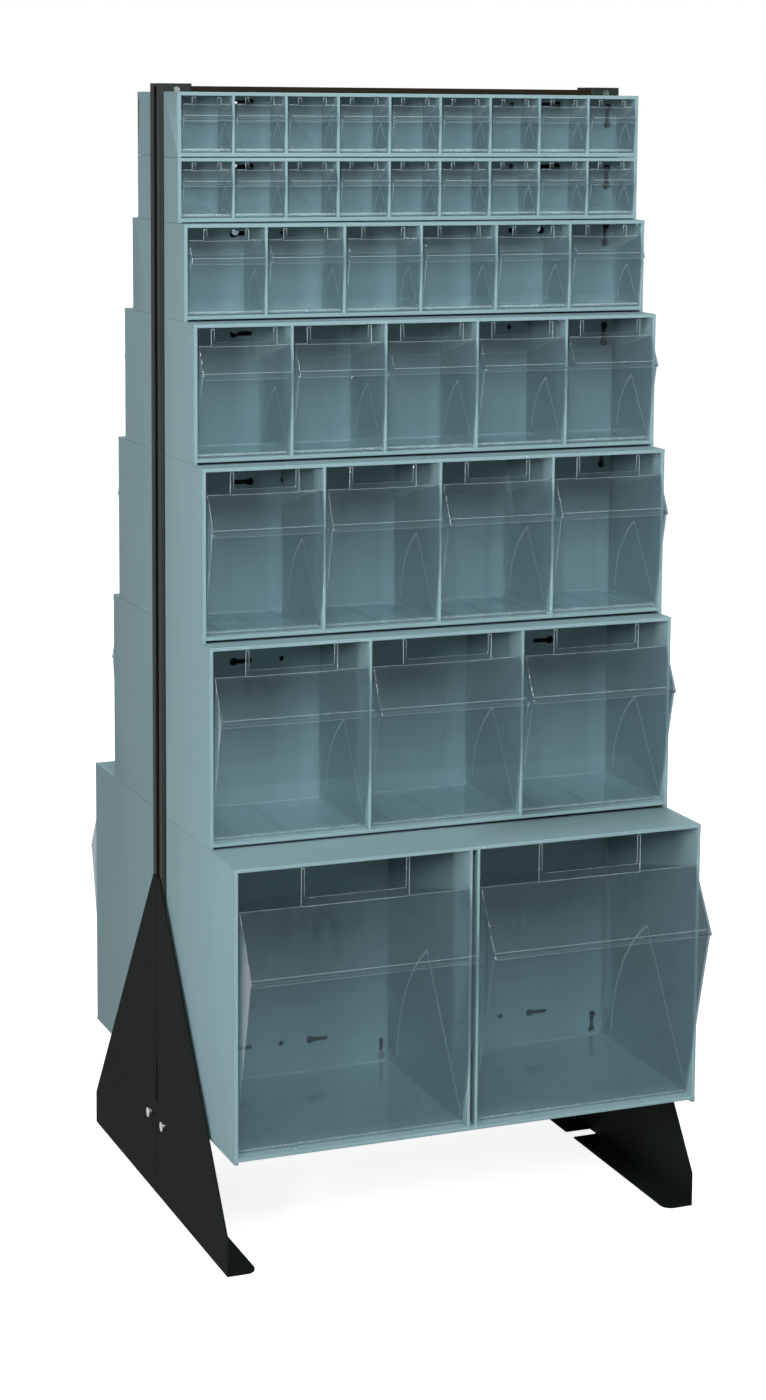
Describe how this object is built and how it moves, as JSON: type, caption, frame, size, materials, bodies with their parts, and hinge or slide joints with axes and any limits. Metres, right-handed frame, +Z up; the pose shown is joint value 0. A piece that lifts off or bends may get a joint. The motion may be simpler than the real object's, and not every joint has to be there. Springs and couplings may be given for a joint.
{
  "type": "tip-out bin stand",
  "caption": "Double-sided floor stand of stepped plastic cabinets between steel posts on triangular legs, with clear bins that tip out to show small parts.",
  "frame": {"origin": "on the floor under the middle of the stand", "axes": "+X to the right along the cabinets, +Y from the front to the rear, +Z up"},
  "size_m": [0.618, 0.664, 1.3813],
  "materials": {
    "cabinet": "satin moulded",
    "bin": "clear moulded",
    "frame": "satin paint",
    "zinc": "zinc plated"
  },
  "bodies": {
    "stand": {"left_post": "frame", "right_post": "frame", "cross_rails": "frame", "left_front_leg": "frame", "left_rear_leg": "frame", "right_front_leg": "frame", "right_rear_leg": "frame", "frame_fasteners": "zinc", "hanging_screws": "frame", "nine_bin_cabinets": "cabinet", "six_bin_cabinets": "cabinet", "five_bin_cabinets": "cabinet", "four_bin_cabinets": "cabinet", "three_bin_cabinets": "cabinet", "two_bin_cabinets": "cabinet"},
    "row1_bin1": {"row1_bin1": "bin"},
    "row1_bin2": {"row1_bin2": "bin"},
    "row1_bin3": {"row1_bin3": "bin"},
    "row1_bin4": {"row1_bin4": "bin"},
    "row1_bin5": {"row1_bin5": "bin"},
    "row1_bin6": {"row1_bin6": "bin"},
    "row1_bin7": {"row1_bin7": "bin"},
    "row1_bin8": {"row1_bin8": "bin"},
    "row1_bin9": {"row1_bin9": "bin"},
    "rear_row1_bins": {"rear_row1_bins": "bin"},
    "row2_bin1": {"row2_bin1": "bin"},
    "row2_bin2": {"row2_bin2": "bin"},
    "row2_bin3": {"row2_bin3": "bin"},
    "row2_bin4": {"row2_bin4": "bin"},
    "row2_bin5": {"row2_bin5": "bin"},
    "row2_bin6": {"row2_bin6": "bin"},
    "row2_bin7": {"row2_bin7": "bin"},
    "row2_bin8": {"row2_bin8": "bin"},
    "row2_bin9": {"row2_bin9": "bin"},
    "rear_row2_bins": {"rear_row2_bins": "bin"},
    "row3_bin1": {"row3_bin1": "bin"},
    "row3_bin2": {"row3_bin2": "bin"},
    "row3_bin3": {"row3_bin3": "bin"},
    "row3_bin4": {"row3_bin4": "bin"},
    "row3_bin5": {"row3_bin5": "bin"},
    "row3_bin6": {"row3_bin6": "bin"},
    "rear_row3_bins": {"rear_row3_bins": "bin"},
    "row4_bin1": {"row4_bin1": "bin"},
    "row4_bin2": {"row4_bin2": "bin"},
    "row4_bin3": {"row4_bin3": "bin"},
    "row4_bin4": {"row4_bin4": "bin"},
    "row4_bin5": {"row4_bin5": "bin"},
    "rear_row4_bins": {"rear_row4_bins": "bin"},
    "row5_bin1": {"row5_bin1": "bin"},
    "row5_bin2": {"row5_bin2": "bin"},
    "row5_bin3": {"row5_bin3": "bin"},
    "row5_bin4": {"row5_bin4": "bin"},
    "rear_row5_bins": {"rear_row5_bins": "bin"},
    "row6_bin1": {"row6_bin1": "bin"},
    "row6_bin2": {"row6_bin2": "bin"},
    "row6_bin3": {"row6_bin3": "bin"},
    "rear_row6_bins": {"rear_row6_bins": "bin"},
    "row7_bin1": {"row7_bin1": "bin"},
    "row7_bin2": {"row7_bin2": "bin"},
    "rear_row7_bins": {"rear_row7_bins": "bin"}
  },
  "joints": [
    {"name": "row1_bin1_tip", "type": "hinge", "parent": "stand", "child": "row1_bin1", "pos_m": [-0.26427, -0.074, 1.3059], "axis": [1, 0, 0], "range_deg": [0, 55]},
    {"name": "row1_bin2_tip", "type": "hinge", "parent": "stand", "child": "row1_bin2", "pos_m": [-0.1982, -0.074, 1.3059], "axis": [1, 0, 0], "range_deg": [0, 55]},
    {"name": "row1_bin3_tip", "type": "hinge", "parent": "stand", "child": "row1_bin3", "pos_m": [-0.13213, -0.074, 1.3059], "axis": [1, 0, 0], "range_deg": [0, 55]},
    {"name": "row1_bin4_tip", "type": "hinge", "parent": "stand", "child": "row1_bin4", "pos_m": [-0.06607, -0.074, 1.3059], "axis": [1, 0, 0], "range_deg": [0, 55]},
    {"name": "row1_bin5_tip", "type": "hinge", "parent": "stand", "child": "row1_bin5", "pos_m": [0, -0.074, 1.3059], "axis": [1, 0, 0], "range_deg": [0, 55]},
    {"name": "row1_bin6_tip", "type": "hinge", "parent": "stand", "child": "row1_bin6", "pos_m": [0.06607, -0.074, 1.3059], "axis": [1, 0, 0], "range_deg": [0, 55]},
    {"name": "row1_bin7_tip", "type": "hinge", "parent": "stand", "child": "row1_bin7", "pos_m": [0.13213, -0.074, 1.3059], "axis": [1, 0, 0], "range_deg": [0, 55]},
    {"name": "row1_bin8_tip", "type": "hinge", "parent": "stand", "child": "row1_bin8", "pos_m": [0.1982, -0.074, 1.3059], "axis": [1, 0, 0], "range_deg": [0, 55]},
    {"name": "row1_bin9_tip", "type": "hinge", "parent": "stand", "child": "row1_bin9", "pos_m": [0.26427, -0.074, 1.3059], "axis": [1, 0, 0], "range_deg": [0, 55]},
    {"name": "rear_row1_tip", "type": "hinge", "parent": "stand", "child": "rear_row1_bins", "pos_m": [0, 0.074, 1.3059], "axis": [-1, 0, 0], "range_deg": [0, 55]},
    {"name": "row2_bin1_tip", "type": "hinge", "parent": "stand", "child": "row2_bin1", "pos_m": [-0.26427, -0.074, 1.2293], "axis": [1, 0, 0], "range_deg": [0, 55]},
    {"name": "row2_bin2_tip", "type": "hinge", "parent": "stand", "child": "row2_bin2", "pos_m": [-0.1982, -0.074, 1.2293], "axis": [1, 0, 0], "range_deg": [0, 55]},
    {"name": "row2_bin3_tip", "type": "hinge", "parent": "stand", "child": "row2_bin3", "pos_m": [-0.13213, -0.074, 1.2293], "axis": [1, 0, 0], "range_deg": [0, 55]},
    {"name": "row2_bin4_tip", "type": "hinge", "parent": "stand", "child": "row2_bin4", "pos_m": [-0.06607, -0.074, 1.2293], "axis": [1, 0, 0], "range_deg": [0, 55]},
    {"name": "row2_bin5_tip", "type": "hinge", "parent": "stand", "child": "row2_bin5", "pos_m": [0, -0.074, 1.2293], "axis": [1, 0, 0], "range_deg": [0, 55]},
    {"name": "row2_bin6_tip", "type": "hinge", "parent": "stand", "child": "row2_bin6", "pos_m": [0.06607, -0.074, 1.2293], "axis": [1, 0, 0], "range_deg": [0, 55]},
    {"name": "row2_bin7_tip", "type": "hinge", "parent": "stand", "child": "row2_bin7", "pos_m": [0.13213, -0.074, 1.2293], "axis": [1, 0, 0], "range_deg": [0, 55]},
    {"name": "row2_bin8_tip", "type": "hinge", "parent": "stand", "child": "row2_bin8", "pos_m": [0.1982, -0.074, 1.2293], "axis": [1, 0, 0], "range_deg": [0, 55]},
    {"name": "row2_bin9_tip", "type": "hinge", "parent": "stand", "child": "row2_bin9", "pos_m": [0.26427, -0.074, 1.2293], "axis": [1, 0, 0], "range_deg": [0, 55]},
    {"name": "rear_row2_tip", "type": "hinge", "parent": "stand", "child": "rear_row2_bins", "pos_m": [0, 0.074, 1.2293], "axis": [-1, 0, 0], "range_deg": [0, 55]},
    {"name": "row3_bin1_tip", "type": "hinge", "parent": "stand", "child": "row3_bin1", "pos_m": [-0.24775, -0.095, 1.116], "axis": [1, 0, 0], "range_deg": [0, 55]},
    {"name": "row3_bin2_tip", "type": "hinge", "parent": "stand", "child": "row3_bin2", "pos_m": [-0.14865, -0.095, 1.116], "axis": [1, 0, 0], "range_deg": [0, 55]},
    {"name": "row3_bin3_tip", "type": "hinge", "parent": "stand", "child": "row3_bin3", "pos_m": [-0.04955, -0.095, 1.116], "axis": [1, 0, 0], "range_deg": [0, 55]},
    {"name": "row3_bin4_tip", "type": "hinge", "parent": "stand", "child": "row3_bin4", "pos_m": [0.04955, -0.095, 1.116], "axis": [1, 0, 0], "range_deg": [0, 55]},
    {"name": "row3_bin5_tip", "type": "hinge", "parent": "stand", "child": "row3_bin5", "pos_m": [0.14865, -0.095, 1.116], "axis": [1, 0, 0], "range_deg": [0, 55]},
    {"name": "row3_bin6_tip", "type": "hinge", "parent": "stand", "child": "row3_bin6", "pos_m": [0.24775, -0.095, 1.116], "axis": [1, 0, 0], "range_deg": [0, 55]},
    {"name": "rear_row3_tip", "type": "hinge", "parent": "stand", "child": "rear_row3_bins", "pos_m": [0, 0.095, 1.116], "axis": [-1, 0, 0], "range_deg": [0, 55]},
    {"name": "row4_bin1_tip", "type": "hinge", "parent": "stand", "child": "row4_bin1", "pos_m": [-0.23784, -0.129, 0.9514], "axis": [1, 0, 0], "range_deg": [0, 55]},
    {"name": "row4_bin2_tip", "type": "hinge", "parent": "stand", "child": "row4_bin2", "pos_m": [-0.11892, -0.129, 0.9514], "axis": [1, 0, 0], "range_deg": [0, 55]},
    {"name": "row4_bin3_tip", "type": "hinge", "parent": "stand", "child": "row4_bin3", "pos_m": [0, -0.129, 0.9514], "axis": [1, 0, 0], "range_deg": [0, 55]},
    {"name": "row4_bin4_tip", "type": "hinge", "parent": "stand", "child": "row4_bin4", "pos_m": [0.11892, -0.129, 0.9514], "axis": [1, 0, 0], "range_deg": [0, 55]},
    {"name": "row4_bin5_tip", "type": "hinge", "parent": "stand", "child": "row4_bin5", "pos_m": [0.23784, -0.129, 0.9514], "axis": [1, 0, 0], "range_deg": [0, 55]},
    {"name": "rear_row4_tip", "type": "hinge", "parent": "stand", "child": "rear_row4_bins", "pos_m": [0, 0.129, 0.9514], "axis": [-1, 0, 0], "range_deg": [0, 55]},
    {"name": "row5_bin1_tip", "type": "hinge", "parent": "stand", "child": "row5_bin1", "pos_m": [-0.22298, -0.158, 0.7455], "axis": [1, 0, 0], "range_deg": [0, 55]},
    {"name": "row5_bin2_tip", "type": "hinge", "parent": "stand", "child": "row5_bin2", "pos_m": [-0.07433, -0.158, 0.7455], "axis": [1, 0, 0], "range_deg": [0, 55]},
    {"name": "row5_bin3_tip", "type": "hinge", "parent": "stand", "child": "row5_bin3", "pos_m": [0.07433, -0.158, 0.7455], "axis": [1, 0, 0], "range_deg": [0, 55]},
    {"name": "row5_bin4_tip", "type": "hinge", "parent": "stand", "child": "row5_bin4", "pos_m": [0.22298, -0.158, 0.7455], "axis": [1, 0, 0], "range_deg": [0, 55]},
    {"name": "rear_row5_tip", "type": "hinge", "parent": "stand", "child": "rear_row5_bins", "pos_m": [0, 0.158, 0.7455], "axis": [-1, 0, 0], "range_deg": [0, 55]},
    {"name": "row6_bin1_tip", "type": "hinge", "parent": "stand", "child": "row6_bin1", "pos_m": [-0.1982, -0.182, 0.5042], "axis": [1, 0, 0], "range_deg": [0, 55]},
    {"name": "row6_bin2_tip", "type": "hinge", "parent": "stand", "child": "row6_bin2", "pos_m": [0, -0.182, 0.5042], "axis": [1, 0, 0], "range_deg": [0, 55]},
    {"name": "row6_bin3_tip", "type": "hinge", "parent": "stand", "child": "row6_bin3", "pos_m": [0.1982, -0.182, 0.5042], "axis": [1, 0, 0], "range_deg": [0, 55]},
    {"name": "rear_row6_tip", "type": "hinge", "parent": "stand", "child": "rear_row6_bins", "pos_m": [0, 0.182, 0.5042], "axis": [-1, 0, 0], "range_deg": [0, 55]},
    {"name": "row7_bin1_tip", "type": "hinge", "parent": "stand", "child": "row7_bin1", "pos_m": [-0.15105, -0.268, 0.1518], "axis": [1, 0, 0], "range_deg": [0, 55]},
    {"name": "row7_bin2_tip", "type": "hinge", "parent": "stand", "child": "row7_bin2", "pos_m": [0.15105, -0.268, 0.1518], "axis": [1, 0, 0], "range_deg": [0, 55]},
    {"name": "rear_row7_tip", "type": "hinge", "parent": "stand", "child": "rear_row7_bins", "pos_m": [0, 0.268, 0.1518], "axis": [-1, 0, 0], "range_deg": [0, 55]}
  ]
}
